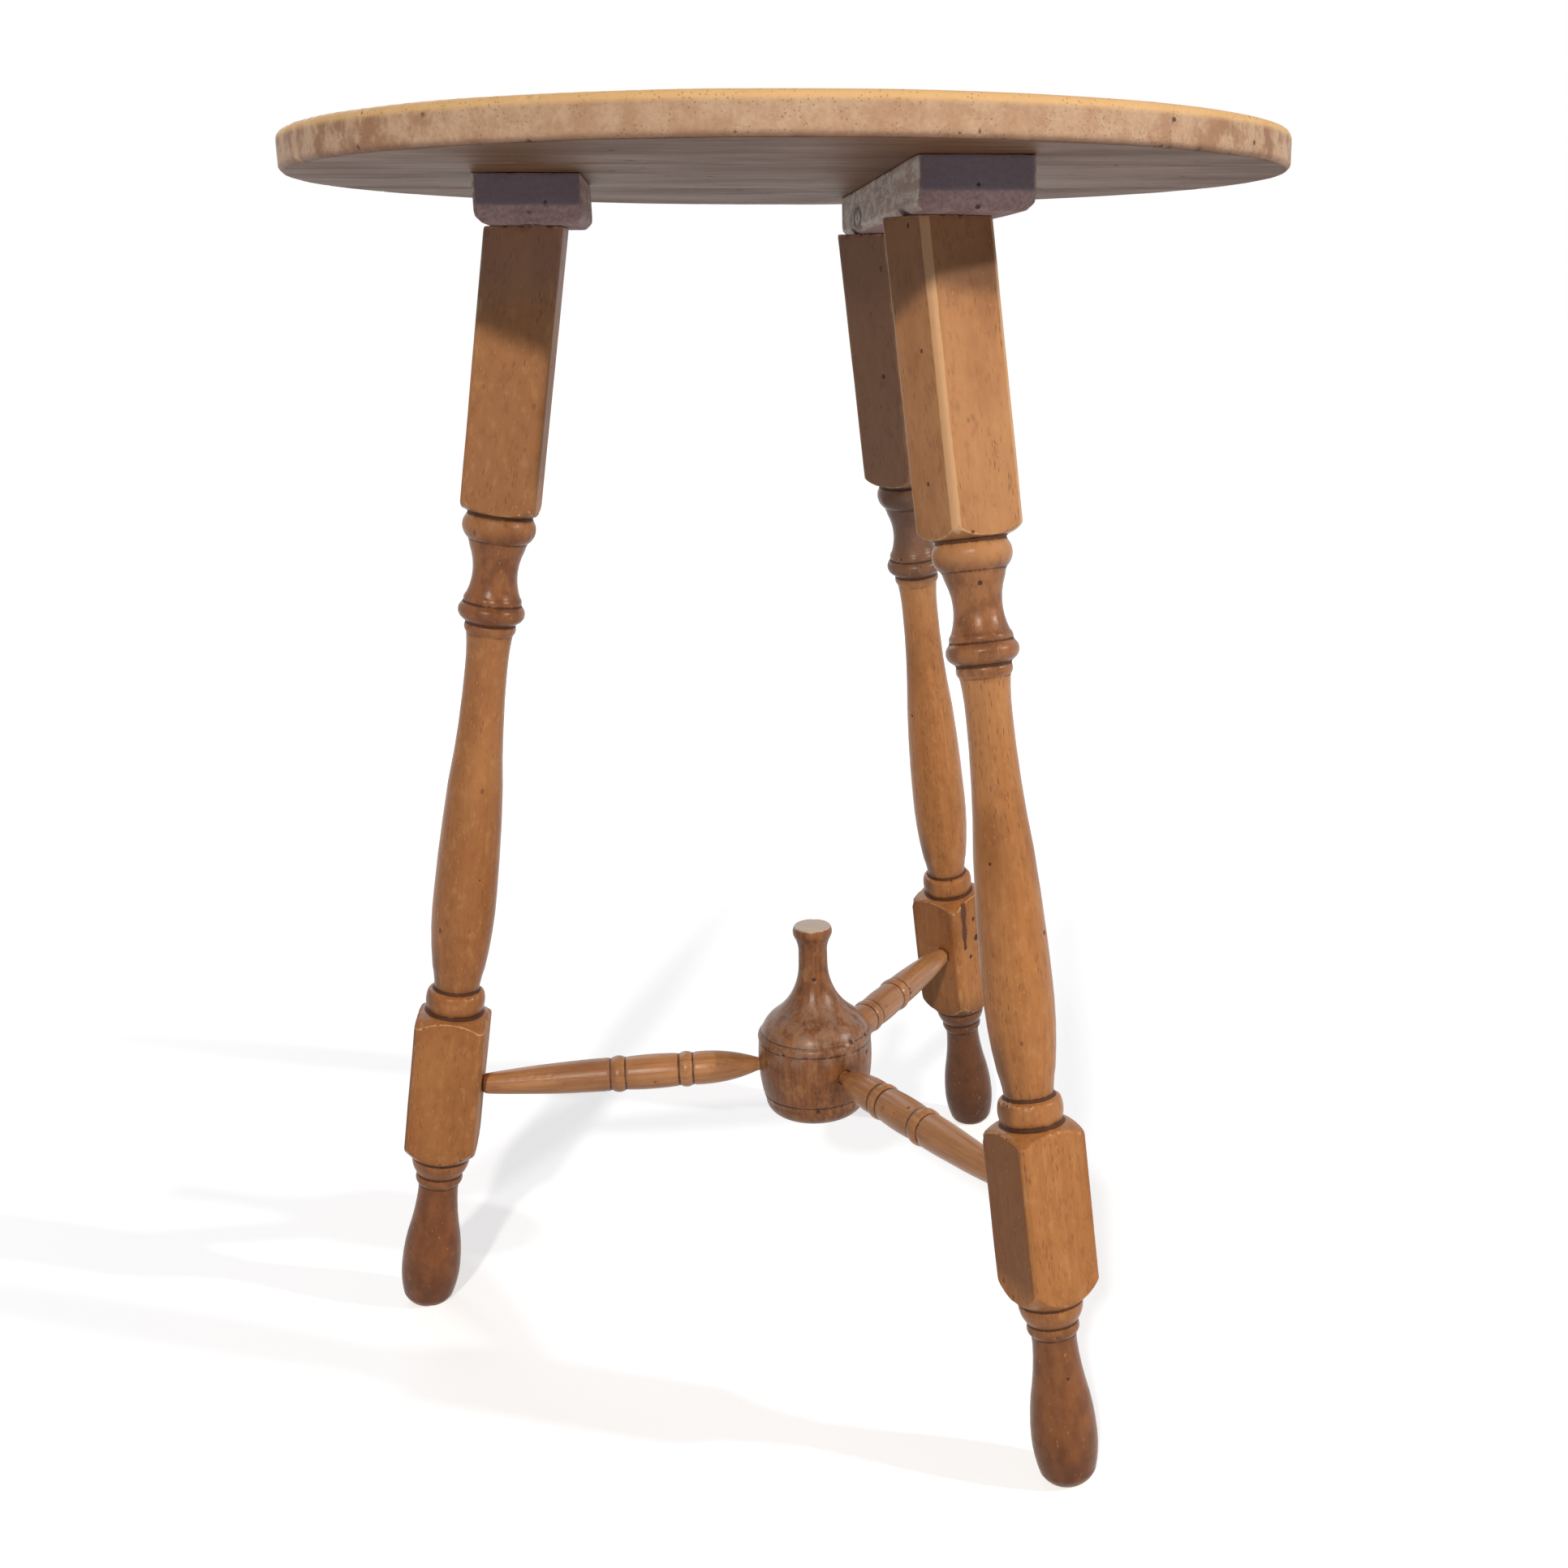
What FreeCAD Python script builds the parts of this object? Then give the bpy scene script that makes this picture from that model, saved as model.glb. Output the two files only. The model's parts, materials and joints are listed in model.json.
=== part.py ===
import FreeCAD, Part
import math
import os
import Sketcher
from FreeCAD import Rotation, Vector

# Cricket table: a round boarded top on two battens, three splayed turned legs and three turned
# stretchers that meet in a bottle-shaped hub.
# Frame: millimetres, +Z up, floor at z = 0, origin under the middle of the top, battens along Y.

SIZES = {
    "height": 650.6,
    "top_diameter": 500.0,
    "top_thickness": 17.7,
    "top_upper_round": 3.5,
    "top_lower_bevel": 2.0,
    "joint_front": 108.0,
    "joint_back": 74.0,
    "batten_thickness": 23.0,
    "batten_width": 52.0,
    "batten_end_rise": 8.5,
    "batten_end_run": 7.0,
    "batten_arris": 3.5,
    "batten_corner": 3.0,
    "right_batten_length": 348.0,
    "right_batten_place": 66.5,
    "left_batten_length": 105.0,
    "left_batten_place": 131.0,
    "leg_top_left": 129.4,
    "leg_top_right": 53.9,
    "leg_top_spread": 109.5,
    "foot_circle": 234.6,
    "foot_turn": -2.4,
    "leg_stock": 39.0,
    "leg_arris": 4.4,
    "leg_twist_left": 0.5,
    "leg_twist_front": -5.0,
    "leg_twist_back": -15.0,
    "leg_tenon": 22.0,
    "leg_tenon_length": 15.0,
    "joint_fit": 0.2,
    "socket_end_gap": 1.0,
    "toe_trim": 1.6,
    "toe_end": 14.0,
    "stretcher_height": 143.0,
    "stretcher_drop_left": 6.0,
    "stretcher_drop_front": -2.0,
    "stretcher_drop_back": 2.0,
    "stretcher_tenon": 9.6,
    "stretcher_tenon_length": 14.0,
    "hub_tenon": 8.0,
    "hub_tenon_length": 14.0,
    "hub_base_height": 112.5,
    "hub_foot": 44.0,
    "hub_shoulder_gap": 1.2,
    "rod_end": 11.6,
    "rod_taper_swell": 1.9,
    "screw_head": 8.4,
    "screw_head_rise": 2.4,
    "screw_core": 4.0,
    "screw_bite": 11.0,
    "screw_fit": 0.3,
    "screw_slot_width": 1.1,
    "screw_slot_depth": 1.2,
    "screw_leg_gap": 6.0,
    "screw_middle": 30.0,
}

# Turned zones: name, length along the axis, diameter at the far end, swell of the curve between
# (outward above zero, hollow below; none is a straight run).
LEG_FOOT = [
    ("toe_round", 6.6, 28.4, 1.2),
    ("toe", 19.0, 33.7, 0.7),
    ("pear", 28.0, 27.2, 0.75),
    ("ankle", 21.0, 22.6, -0.35),
    ("ankle_fillet", 4.6, 23.0, None),
    ("ankle_step", 0.8, 24.2, None),
    ("ankle_ring", 5.2, 25.6, 0.9),
    ("ankle_quirk", 0.9, 25.4, None),
    ("lower_bead", 9.2, 32.8, 0.9),
    ("lower_quirk", 1.6, 31.6, None),
]
LEG_MIDDLE = [
    ("collar_quirk", 1.4, 30.9, None),
    ("collar", 11.0, 30.9, 1.0),
    ("collar_step", 1.4, 24.8, None),
    ("baluster_neck", 13.2, 29.2, -0.3),
    ("baluster_belly", 45.0, 34.7, 0.97),
    ("baluster_taper", 63.0, 29.8, 0.45),
    ("baluster_shaft", 67.0, 22.8, -0.95),
    ("baluster_flare", 17.5, 24.7, -0.28),
    ("bead_step", 0.8, 25.4, None),
    ("bead", 4.8, 26.6, 0.8),
    ("bead_quirk", 1.0, 27.0, None),
    ("ring_step", 1.6, 31.4, None),
    ("ring", 8.2, 32.0, 1.9),
    ("ring_quirk", 0.9, 30.6, None),
    ("ring_fillet", 3.2, 30.2, 0.3),
    ("waist_step", 0.9, 28.6, None),
    ("waist", 25.0, 28.8, -2.5),
    ("torus_fillet", 4.4, 31.2, None),
    ("torus_step", 1.0, 33.6, None),
    ("torus", 12.0, 34.6, 2.2),
    ("upper_quirk", 1.6, 33.4, None),
]
LEG_BLOCKS = {
    "lower_shoulder": 15.0,
    "lower_shoulder_swell": 2.0,
    "lower_block": 68.2,
    "cap_shoulder": 8.5,
    "cap_shoulder_swell": 2.2,
    "upper_shoulder": 7.5,
    "upper_shoulder_swell": 2.2,
}
STRETCHER = [
    ("rod", 71.5, 19.6, 0.9),
    ("rod_quirk", 1.2, 18.2, None),
    ("middle_ring", 8.6, 18.6, 1.5),
    ("middle_quirk", 1.4, 19.4, None),
    ("middle_rod", 28.0, 19.4, 0.5),
    ("second_quirk", 1.4, 18.2, None),
    ("second_ring", 8.0, 18.2, 1.4),
    ("second_step", 1.2, 19.4, None),
]
HUB = [
    ("hub_heel", 9.5, 59.0, 2.6),
    ("hub_skirt", 2.4, 61.0, None),
    ("hub_line_in", 0.8, 59.4, None),
    ("hub_line_out", 0.8, 61.6, None),
    ("hub_barrel", 32.0, 65.4, 1.3),
    ("hub_ridge", 4.0, 65.0, 0.7),
    ("hub_ridge_quirk", 1.0, 62.6, None),
    ("hub_dome", 10.0, 48.0, 1.2),
    ("hub_neck", 31.0, 16.8, -4.6),
    ("hub_throat", 6.0, 16.6, None),
    ("hub_flare", 11.0, 22.0, -0.9),
    ("hub_lip", 6.0, 20.4, 0.8),
]

doc = FreeCAD.newDocument("cricket_table")
sheet = doc.addObject("Spreadsheet::Sheet", "sizes")
row_count = 0


def add_size(alias, number):
    global row_count
    row_count += 1
    sheet.set("A%d" % row_count, alias)
    sheet.set("B%d" % row_count, str(number))
    sheet.setAlias("B%d" % row_count, alias)


def add_zones(zones):
    for name, length, diameter, swell in zones:
        add_size(name + "_length", length)
        add_size(name + "_diameter", diameter)
        if swell is not None:
            add_size(name + "_swell", swell)


for alias, number in list(SIZES.items()) + list(LEG_BLOCKS.items()):
    add_size(alias, number)
for zones in (LEG_FOOT, LEG_MIDDLE, STRETCHER, HUB):
    add_zones(zones)
doc.recompute()


def size(alias):
    return float(sheet.get(alias))


def bind(thing, **formulas):
    for name, formula in formulas.items():
        thing.setExpression(name, formula)
    return thing


def zone_steps(zones):
    steps = []
    for name, length, diameter, swell in zones:
        rise = "sizes.%s_length" % name
        radius = "sizes.%s_diameter / 2" % name
        steps.append((rise, radius, None if swell is None else "sizes.%s_swell" % name))
    return steps


def origin_plane(body, role):
    return [item for item in body.Origin.OriginFeatures if item.Role == role][0]


def attach(sketch, body, role):
    sketch.AttachmentSupport = [(origin_plane(body, role), "")]
    sketch.MapMode = "FlatFace"


def sheet_value(formula):
    return float(sheet.evalExpression(formula))


def fix_point(sketch, edge, end, across, up):
    """Tie a point of a sketch to its signed distances from the sketch's origin."""
    for kind, line, formula in (("DistanceX", -2, across), ("DistanceY", -1, up)):
        distance = sheet_value(formula)
        if abs(distance) < 1e-9:
            sketch.addConstraint(Sketcher.Constraint("PointOnObject", edge, end, line))
            continue
        ends = (-1, 1, edge, end) if distance > 0 else (edge, end, -1, 1)
        number = sketch.addConstraint(Sketcher.Constraint(kind, *ends, abs(distance)))
        sketch.setExpression("Constraints[%d]" % number, formula if distance > 0 else "-(%s)" % formula)


def nearest_end(sketch, edge, point):
    return min((1, 2), key=lambda end: sketch.getPoint(edge, end).distanceToPoint(point))


def turned_body(name, start_radius, steps):
    """A turning about the body's Z, drawn as half an outline from its lower end upwards."""
    body = doc.addObject("PartDesign::Body", name)
    sketch = body.newObject("Sketcher::SketchObject", name + "_outline")
    attach(sketch, body, "XZ_Plane")
    stations = ["0"]
    for rise, radius, swell in steps:
        stations.append(stations[-1] + " + " + rise)
    radii = [start_radius] + [radius for rise, radius, swell in steps]
    corners = [Vector(sheet_value(r), sheet_value(s), 0) for r, s in zip(radii, stations)]
    lower = Vector(0, 0, 0)
    upper = Vector(0, corners[-1].y, 0)
    base = sketch.addGeometry(Part.LineSegment(lower, corners[0]))
    fix_point(sketch, base, 1, "0", "0")
    fix_point(sketch, base, 2, start_radius, "0")
    last_edge, last_end = base, 2
    for index, (rise, radius, swell) in enumerate(steps):
        here, there = corners[index], corners[index + 1]
        if swell is None:
            edge = sketch.addGeometry(Part.LineSegment(here, there))
        else:
            across = "(%s + %s) / 2 + %s" % (radii[index], radius, swell)
            up = "%s + (%s) / 2" % (stations[index], rise)
            crest = Vector(sheet_value(across), sheet_value(up), 0)
            edge = sketch.addGeometry(Part.Arc(here, crest, there))
            mark = sketch.addGeometry(Part.Point(crest), True)
            fix_point(sketch, mark, 1, across, up)
            sketch.addConstraint(Sketcher.Constraint("PointOnObject", mark, 1, edge))
        near_end = nearest_end(sketch, edge, here)
        sketch.addConstraint(Sketcher.Constraint("Coincident", edge, near_end, last_edge, last_end))
        last_edge, last_end = edge, 3 - near_end
        fix_point(sketch, last_edge, last_end, radius, stations[index + 1])
    cap = sketch.addGeometry(Part.LineSegment(corners[-1], upper))
    axis = sketch.addGeometry(Part.LineSegment(upper, lower))
    sketch.addConstraint(Sketcher.Constraint("Coincident", cap, 1, last_edge, last_end))
    sketch.addConstraint(Sketcher.Constraint("Coincident", axis, 1, cap, 2))
    sketch.addConstraint(Sketcher.Constraint("Coincident", axis, 2, base, 1))
    sketch.addConstraint(Sketcher.Constraint("Horizontal", cap))
    sketch.addConstraint(Sketcher.Constraint("Vertical", axis))
    turning = body.newObject("PartDesign::Revolution", name + "_turning")
    turning.Profile = sketch
    turning.ReferenceAxis = (sketch, ["V_Axis"])
    turning.Angle = 360.0
    doc.recompute()
    return body


def rounded_square(sketch, half, corner):
    """A square about the origin with rounded corners."""
    flat = sheet_value("%s - %s" % (half, corner))
    reach = sheet_value(half)
    sides = []
    for quarter in range(4):
        turn = Rotation(Vector(0, 0, 1), 90 * quarter)
        start = turn.multVec(Vector(-flat, -reach, 0))
        finish = turn.multVec(Vector(flat, -reach, 0))
        side = sketch.addGeometry(Part.LineSegment(start, finish))
        sketch.addConstraint(Sketcher.Constraint("Vertical" if quarter % 2 else "Horizontal", side))
        sides.append(side)
    for quarter, side in enumerate(sides):
        follower = sides[(quarter + 1) % 4]
        start = sketch.getPoint(side, 2)
        finish = sketch.getPoint(follower, 1)
        middle = (start + finish) / 2
        crest = middle * (1 + (math.sqrt(2) - 1) * sheet_value(corner) / math.sqrt(2) / middle.Length)
        arc = sketch.addGeometry(Part.Arc(start, crest, finish))
        first = nearest_end(sketch, arc, start)
        sketch.addConstraint(Sketcher.Constraint("Tangent", side, 2, arc, first))
        sketch.addConstraint(Sketcher.Constraint("Tangent", arc, 3 - first, follower, 1))
        number = sketch.addConstraint(Sketcher.Constraint("Radius", arc, sheet_value(corner)))
        sketch.setExpression("Constraints[%d]" % number, corner)
        kind, ends = (("DistanceY", (side, 1, -1, 1)), ("DistanceX", (-1, 1, side, 1)),
                      ("DistanceY", (-1, 1, side, 1)), ("DistanceX", (side, 1, -1, 1)))[quarter]
        number = sketch.addConstraint(Sketcher.Constraint(kind, *ends, reach))
        sketch.setExpression("Constraints[%d]" % number, half)


def polygon(sketch, points):
    """A closed outline through points given as pairs of formulas."""
    corners = [Vector(sheet_value(across), sheet_value(up), 0) for across, up in points]
    followers = corners[1:] + corners[:1]
    edges = [sketch.addGeometry(Part.LineSegment(here, there)) for here, there in zip(corners, followers)]
    for number, edge in enumerate(edges):
        sketch.addConstraint(Sketcher.Constraint("Coincident", edge, 2, edges[(number + 1) % len(edges)], 1))
        fix_point(sketch, edge, 1, *points[number])


def cylinder(name, radius, length, start, direction):
    """A round bar or bore from a start point along a direction."""
    bar = doc.addObject("Part::Cylinder", name)
    bind(bar, Radius=radius, Height=length)
    bar.Placement = FreeCAD.Placement(start, Rotation(Vector(0, 0, 1), direction))
    return bar


def box(name, spans):
    """A box from the low and high formulas of its three spans."""
    block = doc.addObject("Part::Box", name)
    for axis, side, (low, high) in zip("xyz", ("Length", "Width", "Height"), spans):
        block.setExpression(side, "(%s) - (%s)" % (high, low))
        block.setExpression("Placement.Base." + axis, low)
    return block


def boolean(kind, name, base, tool):
    result = doc.addObject("Part::" + kind, name)
    result.Base = base
    result.Tool = tool
    return result


def gather(name, members):
    joined = doc.addObject("Part::MultiFuse", name)
    joined.Shapes = members
    return joined


TOP_RADIUS = "sizes.top_diameter / 2"
UNDERSIDE = "sizes.height - sizes.top_thickness"
BATTEN_LEVEL = UNDERSIDE + " - sizes.batten_thickness"
batten_level = sheet_value(BATTEN_LEVEL)


class LegLine:
    """A leg's axis from its foot to its socket, and the level way from it to the hub."""

    def __init__(self, name, foot_angle, top_x, top_y):
        angle = math.radians(foot_angle + size("foot_turn"))
        self.name = name
        self.foot = Vector(math.cos(angle), math.sin(angle), 0) * size("foot_circle")
        self.axis = (Vector(top_x, top_y, size("height")) - self.foot).normalize()
        self.joint = self.at(size("stretcher_height") - size("stretcher_drop_" + name))
        way = Vector(0, 0, size("stretcher_height")) - self.joint
        self.reach = way.Length
        self.inward = way.normalize()
        self.outward = self.inward * -1
        radial = (self.outward - self.axis * self.outward.dot(self.axis)).normalize()
        side = Rotation(self.axis, size("leg_twist_" + name)).multVec(radial)
        self.turn = Rotation(side, self.axis.cross(side), self.axis, "ZXY")
        self.face = size("leg_stock") / 2 / side.dot(self.outward)
        self.skew = math.acos(side.dot(self.outward))

    def at(self, height):
        return self.foot + self.axis * (height / self.axis.z)


LEG_LINES = [
    LegLine("left", 180, -size("leg_top_left"), 0),
    LegLine("front", -60, size("leg_top_right"), -size("leg_top_spread")),
    LegLine("back", 60, size("leg_top_right"), size("leg_top_spread")),
]


def leg_steps():
    """The turner's outline: the square blocks are zones wider than the stock's corners."""
    corner = "sizes.leg_stock * 0.71"
    steps = zone_steps(LEG_FOOT)
    steps.append(("sizes.lower_shoulder", corner, "sizes.lower_shoulder_swell"))
    steps.append(("sizes.lower_block", corner, None))
    steps.append(("sizes.cap_shoulder", "sizes.collar_quirk_diameter / 2", "sizes.cap_shoulder_swell"))
    steps += zone_steps(LEG_MIDDLE)
    steps.append(("sizes.upper_shoulder", corner, "sizes.upper_shoulder_swell"))
    steps.append(("sizes.height / 2", corner, None))
    return steps


def square_off(body, name):
    """Leave the turning inside its square stock, whose long arrises are eased by wear."""
    sketch = body.newObject("Sketcher::SketchObject", name + "_stock")
    attach(sketch, body, "XY_Plane")
    rounded_square(sketch, "sizes.leg_stock / 2", "sizes.leg_arris")
    rounded_square(sketch, "sizes.leg_stock", "sizes.leg_arris")
    flats = body.newObject("PartDesign::Pocket", name + "_flats")
    flats.Profile = sketch
    flats.Type = "ThroughAll"
    flats.Reversed = True
    doc.recompute()


def make_leg(line, level_slab):
    name = "leg_" + line.name
    body = turned_body(name + "_turned", "sizes.toe_end / 2", leg_steps())
    square_off(body, name)
    body.Placement = FreeCAD.Placement(line.foot - line.axis * size("toe_trim"), line.turn)
    levelled = boolean("Common", name + "_levelled", body, level_slab)
    root = line.at(batten_level) - line.axis * size("leg_tenon_length")
    tenon = cylinder(name + "_tenon", "sizes.leg_tenon / 2", "sizes.leg_tenon_length * 2", root, line.axis)
    stem = boolean("Fuse", name + "_stem", levelled, tenon)
    depth = "sizes.stretcher_tenon_length + sizes.socket_end_gap"
    start = line.joint + line.inward * (line.face - sheet_value(depth))
    radius = "sizes.stretcher_tenon / 2 + sizes.joint_fit"
    bore = cylinder(name + "_bore", radius, depth + " + sizes.leg_stock", start, line.inward)
    return boolean("Cut", name, stem, bore)


def leg_socket(line):
    start = line.at(batten_level) - line.axis * size("leg_tenon_length")
    length = "sizes.leg_tenon_length * 2 + sizes.socket_end_gap"
    radius = "sizes.leg_tenon / 2 + sizes.joint_fit"
    return cylinder("batten_socket_" + line.name, radius, length, start, line.axis)


def make_stretcher(line):
    """Turned rod with two ring beads; round tenons enter the leg's block and the hub."""
    name = "stretcher_" + line.name
    shoulder_gap = size("rod_end") / 2 * math.tan(line.skew) + size("joint_fit")
    hub_face = size("hub_barrel_diameter") / 2 + size("hub_shoulder_gap")
    turned = sum(size(zone[0] + "_length") for zone in STRETCHER)
    taper = line.reach - line.face - shoulder_gap - hub_face - turned
    steps = [("sizes.stretcher_tenon_length + %.6f" % shoulder_gap, "sizes.stretcher_tenon / 2", None)]
    steps.append(("0", "sizes.rod_end / 2", None))
    steps += zone_steps(STRETCHER)
    steps.append(("%.6f" % taper, "sizes.hub_tenon / 2", "sizes.rod_taper_swell"))
    steps.append(("sizes.hub_shoulder_gap + sizes.hub_tenon_length", "sizes.hub_tenon / 2", None))
    body = turned_body(name, "sizes.stretcher_tenon / 2", steps)
    start = line.joint + line.inward * (line.face - size("stretcher_tenon_length"))
    body.Placement = FreeCAD.Placement(start, Rotation(Vector(0, 0, 1), line.inward))
    return body


def make_hub():
    """Bottle-shaped hub with a socket for each stretcher."""
    body = turned_body("hub_turned", "sizes.hub_foot / 2", zone_steps(HUB))
    body.Placement.Base.z = size("hub_base_height")
    depth = size("hub_barrel_diameter") / 2 - size("hub_tenon_length") - size("socket_end_gap")
    radius = "sizes.hub_tenon / 2 + sizes.joint_fit"
    bores = []
    for line in LEG_LINES:
        start = line.outward * depth + Vector(0, 0, size("stretcher_height"))
        bores.append(cylinder("hub_bore_" + line.name, radius, "sizes.hub_barrel_diameter", start, line.outward))
    return boolean("Cut", "hub", body, gather("hub_bores", bores))


def make_batten(name, length, place):
    """A bar across the boards with bevelled ends, eased lower arrises and rounded corners."""
    body = doc.addObject("PartDesign::Body", name + "_bar")
    sketch = body.newObject("Sketcher::SketchObject", name + "_side")
    attach(sketch, body, "YZ_Plane")
    half = length + " / 2"
    run = half + " - sizes.batten_end_run"
    side = [(run, "0"), (half, "sizes.batten_end_rise"), (half, "sizes.batten_thickness")]
    mirrored = [("-(%s)" % across, up) for across, up in reversed(side)]
    polygon(sketch, side + mirrored)
    bar = body.newObject("PartDesign::Pad", name + "_pad")
    bar.Profile = sketch
    bar.Midplane = True
    bar.setExpression("Length", "sizes.batten_width")
    doc.recompute()
    lower = ["Edge%d" % n for n, edge in enumerate(body.Shape.Edges, 1)
             if edge.BoundBox.ZMax < 1e-6 and edge.BoundBox.YLength > 1]
    easing = body.newObject("PartDesign::Chamfer", name + "_easing")
    easing.Base = (bar, lower)
    easing.setExpression("Size", "sizes.batten_arris")
    doc.recompute()
    upright = ["Edge%d" % n for n, edge in enumerate(body.Shape.Edges, 1)
               if edge.BoundBox.YLength < 1e-6 and edge.BoundBox.XLength < 1e-6]
    rounding = body.newObject("PartDesign::Fillet", name + "_corners")
    rounding.Base = (easing, upright)
    rounding.setExpression("Radius", "sizes.batten_corner")
    doc.recompute()
    body.setExpression("Placement.Base.x", place)
    body.setExpression("Placement.Base.z", BATTEN_LEVEL)
    return body


def screw_places():
    """The right batten's screws are between its legs; the left batten's are either side of its leg."""
    right = size("right_batten_place")
    clear = size("leg_stock") * 0.71 + size("screw_leg_gap")
    left_y, front_y, back_y = (line.at(batten_level).y for line in LEG_LINES)
    places = [(right, y) for y in (front_y + clear, -size("screw_middle"), size("screw_middle"), back_y - clear)]
    return places + [(-size("left_batten_place"), y) for y in (left_y - clear, left_y + clear)]


def screw_form(name, place, room, bite):
    """A countersunk head on a plain core, or with room to spare, the hole for one."""
    start = Vector(place[0], place[1], batten_level)
    head = doc.addObject("Part::Cone", name + "_head")
    bind(head, Radius1="sizes.screw_head / 2 + " + room, Radius2="sizes.screw_core / 2 + " + room,
         Height="sizes.screw_head_rise")
    head.Placement.Base = start
    core = cylinder(name + "_core", "sizes.screw_core / 2 + " + room,
                    "sizes.batten_thickness + " + bite, start, Vector(0, 0, 1))
    return gather(name, [head, core])


def make_screws():
    screws = []
    for number, place in enumerate(screw_places(), 1):
        blank = screw_form("screw_%d_blank" % number, place, "0", "sizes.screw_bite")
        x, y = ("%.6f" % value for value in place)
        reach = "sizes.screw_head"
        slot = box("screw_%d_slot" % number, [
            ("%s - sizes.screw_slot_width / 2" % x, "%s + sizes.screw_slot_width / 2" % x),
            ("%s - %s" % (y, reach), "%s + %s" % (y, reach)),
            (BATTEN_LEVEL + " - sizes.screw_slot_depth", BATTEN_LEVEL + " + sizes.screw_slot_depth"),
        ])
        screws.append(boolean("Cut", "screw_%d" % number, blank, slot))
    return gather("batten_screws", screws)


def make_boards(holes):
    """Three boards glued edge to edge and turned to one round top with eased rims."""
    rim = [
        ("sizes.top_lower_bevel", TOP_RADIUS, None),
        ("sizes.top_thickness - sizes.top_lower_bevel - sizes.top_upper_round", TOP_RADIUS, None),
        ("sizes.top_upper_round", TOP_RADIUS + " - sizes.top_upper_round", "sizes.top_upper_round * 0.366"),
    ]
    disc = turned_body("top_disc", TOP_RADIUS + " - sizes.top_lower_bevel", rim)
    disc.setExpression("Placement.Base.z", UNDERSIDE)
    drilled = boolean("Cut", "top_drilled", disc, holes)
    edge = "sizes.top_diameter"
    spans = {
        "front": ("-" + edge, "-sizes.joint_front"),
        "middle": ("-sizes.joint_front", "sizes.joint_back"),
        "back": ("sizes.joint_back", edge),
    }
    boards = []
    for name, span in spans.items():
        plank = box("plank_" + name, [("-" + edge, edge), span, ("0", "sizes.height * 2")])
        boards.append(boolean("Common", "top_board_" + name, drilled, plank))
    return boards


holes = gather("screw_holes", [
    screw_form("screw_hole_%d" % number, place, "sizes.screw_fit", "sizes.screw_bite + sizes.socket_end_gap")
    for number, place in enumerate(screw_places(), 1)
])
sockets = gather("batten_sockets", [leg_socket(line) for line in LEG_LINES])
cuts = gather("batten_cuts", [holes, sockets])
level_slab = box("level_slab", [
    ("-sizes.top_diameter", "sizes.top_diameter"),
    ("-sizes.top_diameter", "sizes.top_diameter"),
    ("0", BATTEN_LEVEL),
])

right_bar = make_batten("batten_right", "sizes.right_batten_length", "sizes.right_batten_place")
left_bar = make_batten("batten_left", "sizes.left_batten_length", "-sizes.left_batten_place")
nodes = make_boards(holes)
nodes.append(boolean("Cut", "batten_right", right_bar, cuts))
nodes.append(boolean("Cut", "batten_left", left_bar, cuts))
nodes.append(make_screws())
nodes.append(make_hub())
for line in LEG_LINES:
    nodes.append(make_leg(line, level_slab))
    nodes.append(make_stretcher(line))
doc.recompute()

for item in doc.Objects:
    if "Invalid" in item.State or "Error" in item.State:
        raise RuntimeError("%s failed: %s" % (item.Name, item.State))
for node in nodes:
    if node.Shape.isNull() or not node.Shape.isValid() or not node.Shape.Solids:
        raise RuntimeError("%s has no sound solid" % node.Name)

os.makedirs("parts", exist_ok=True)
for node in nodes:
    node.Label = node.Name
    node.Shape.exportStep("parts/%s.step" % node.Label)
    print(node.Label, len(node.Shape.Solids), round(node.Shape.Volume), node.Shape.BoundBox)
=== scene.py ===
import json
import math
import random
from collections import namedtuple

import bmesh
import bpy
import numpy as np
from mathutils import Matrix, Vector


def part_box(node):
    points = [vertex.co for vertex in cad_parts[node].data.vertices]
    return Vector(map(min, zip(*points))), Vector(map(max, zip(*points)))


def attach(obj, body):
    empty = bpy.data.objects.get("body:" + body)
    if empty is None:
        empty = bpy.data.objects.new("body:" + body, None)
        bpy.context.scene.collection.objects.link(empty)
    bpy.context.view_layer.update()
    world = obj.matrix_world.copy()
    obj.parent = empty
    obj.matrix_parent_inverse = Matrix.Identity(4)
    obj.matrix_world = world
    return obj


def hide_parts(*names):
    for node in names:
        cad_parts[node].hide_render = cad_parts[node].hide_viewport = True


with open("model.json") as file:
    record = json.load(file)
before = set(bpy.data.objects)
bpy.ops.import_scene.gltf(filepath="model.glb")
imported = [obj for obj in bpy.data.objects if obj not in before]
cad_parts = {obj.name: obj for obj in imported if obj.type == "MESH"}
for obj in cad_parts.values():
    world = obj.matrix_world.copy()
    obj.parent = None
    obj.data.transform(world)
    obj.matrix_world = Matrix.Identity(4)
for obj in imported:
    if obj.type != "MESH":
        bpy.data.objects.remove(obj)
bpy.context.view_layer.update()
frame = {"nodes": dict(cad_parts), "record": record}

MILLIMETRE = 0.001
UP = Vector((0, 0, 1))
MOUNTS = {mount["name"]: Vector(mount["pos_m"]) for mount in frame["record"]["mounts"]}

# Camera, from the photograph's perspective, in the table's own frame: metres, degrees, millimetres of lens.
CAMERA_PLACE = Vector((-0.0647, -0.9524, 0.5741))
CAMERA_HEADING = 7.69
CAMERA_PITCH = 15.47
CAMERA_ROLL = -0.38
CAMERA_LENS = 40.33
CAMERA_SENSOR = 36
CAMERA_SHIFT = -0.0875
CAMERA_NEAR = 0.01

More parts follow.
